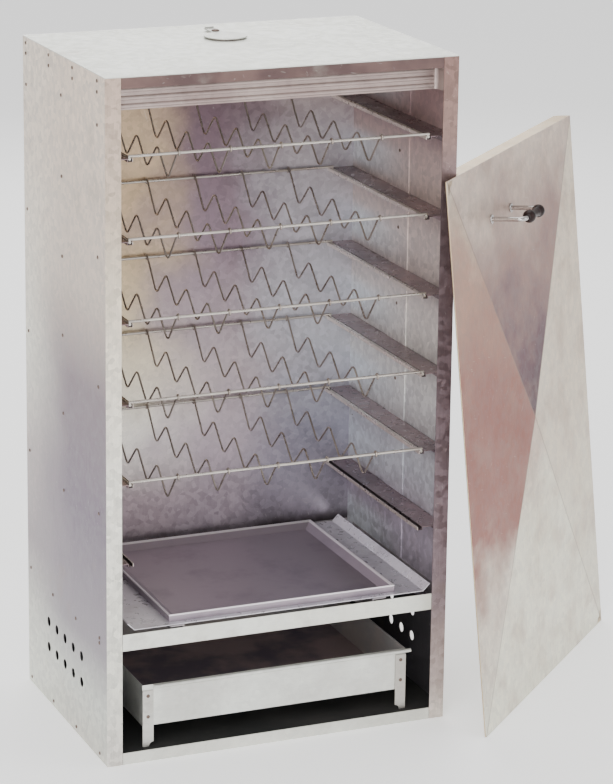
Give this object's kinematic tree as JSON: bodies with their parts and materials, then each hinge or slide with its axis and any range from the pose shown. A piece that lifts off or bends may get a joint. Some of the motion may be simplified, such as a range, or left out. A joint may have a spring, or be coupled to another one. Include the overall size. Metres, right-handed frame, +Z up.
{
  "type": "cabinet smoker",
  "caption": "Upright galvanised sheet-steel smoker cabinet with wire hook racks, a drip pan on a baffle plate, a fire tray and a lift-off door leaning on the corner.",
  "frame": {"origin": "centre of the cabinet's footprint on the ground", "axes": "+X to the right seen from the open front, +Y to the back, +Z up"},
  "size_m": [0.8032, 0.3904, 0.8551],
  "materials": {
    "galvanised": "hot-dip galvanised sheet with a fine spangle, lightly dulled",
    "inner_steel": "galvanised sheet, smoke-dulled",
    "bright_wire": "bright zinc-plated wire",
    "pan_steel": "dark blue-grey rolled steel",
    "tray_steel": "galvanised sheet, sooty inside",
    "fastener": "plain rivets and nuts",
    "chrome": "bright plated rod",
    "grip": "dark brown hard plastic, glossy"
  },
  "bodies": {
    "cabinet": {"side_panel_left": "galvanised", "side_panel_right": "galvanised", "back_panel": "galvanised", "top_panel": "galvanised", "floor_panel": "galvanised", "mid_rail": "galvanised", "rear_ledge": "galvanised", "side_ledge_left": "galvanised", "side_ledge_right": "galvanised", "shelf_bearer_left": "galvanised", "shelf_bearer_right": "galvanised", "lintel_strip": "galvanised", "strap_left": "inner_steel", "strap_right": "inner_steel", "runner_left_1": "inner_steel", "runner_left_2": "inner_steel", "runner_left_3": "inner_steel", "runner_left_4": "inner_steel", "runner_left_5": "inner_steel", "runner_left_6": "inner_steel", "runner_right_1": "inner_steel", "runner_right_2": "inner_steel", "runner_right_3": "inner_steel", "runner_right_4": "inner_steel", "runner_right_5": "inner_steel", "runner_right_6": "inner_steel", "rivets_left": "fastener", "rivets_right": "fastener", "rivets_back": "fastener", "rivets_inside": "fastener", "damper_pivot": "fastener"},
    "rack_1": {"rack_frame_1": "bright_wire", "rack_hooks_1": "bright_wire"},
    "rack_2": {"rack_frame_2": "bright_wire", "rack_hooks_2": "bright_wire"},
    "rack_3": {"rack_frame_3": "bright_wire", "rack_hooks_3": "bright_wire"},
    "rack_4": {"rack_frame_4": "bright_wire", "rack_hooks_4": "bright_wire"},
    "rack_5": {"rack_frame_5": "bright_wire", "rack_hooks_5": "bright_wire"},
    "shelf_plate": {"shelf_plate": "galvanised"},
    "drip_pan": {"drip_pan": "pan_steel"},
    "fire_tray": {"fire_tray": "tray_steel", "fire_tray_legs": "tray_steel", "fire_tray_rivets": "fastener"},
    "damper": {"damper_plate": "galvanised"},
    "door": {"door_panel": "galvanised", "door_handle": "chrome", "door_grip": "grip", "handle_nuts": "fastener"}
  },
  "joints": [
    {"name": "rack_1_slide", "type": "slide", "parent": "cabinet", "child": "rack_1", "axis": [0, -1, 0], "range_m": [0, 0.27]},
    {"name": "rack_2_slide", "type": "slide", "parent": "cabinet", "child": "rack_2", "axis": [0, -1, 0], "range_m": [0, 0.27]},
    {"name": "rack_3_slide", "type": "slide", "parent": "cabinet", "child": "rack_3", "axis": [0, -1, 0], "range_m": [0, 0.27]},
    {"name": "rack_4_slide", "type": "slide", "parent": "cabinet", "child": "rack_4", "axis": [0, -1, 0], "range_m": [0, 0.27]},
    {"name": "rack_5_slide", "type": "slide", "parent": "cabinet", "child": "rack_5", "axis": [0, -1, 0], "range_m": [0, 0.27]},
    {"name": "shelf_plate_slide", "type": "slide", "parent": "cabinet", "child": "shelf_plate", "axis": [0, -1, 0], "range_m": [0, 0.25]},
    {"name": "drip_pan_slide", "type": "slide", "parent": "shelf_plate", "child": "drip_pan", "axis": [0, -1, 0], "range_m": [0, 0.24]},
    {"name": "fire_tray_slide", "type": "slide", "parent": "cabinet", "child": "fire_tray", "axis": [0, -1, 0], "range_m": [0, 0.3]},
    {"name": "damper_turn", "type": "hinge", "parent": "cabinet", "child": "damper", "pos_m": [0.005, 0.088, 0.8517], "axis": [0, 0, 1], "range_deg": [0, 100]},
    {"name": "door_lift", "type": "slide", "parent": "cabinet", "child": "door", "axis": [0, 0, 1], "range_m": [0, 0.15]}
  ]
}
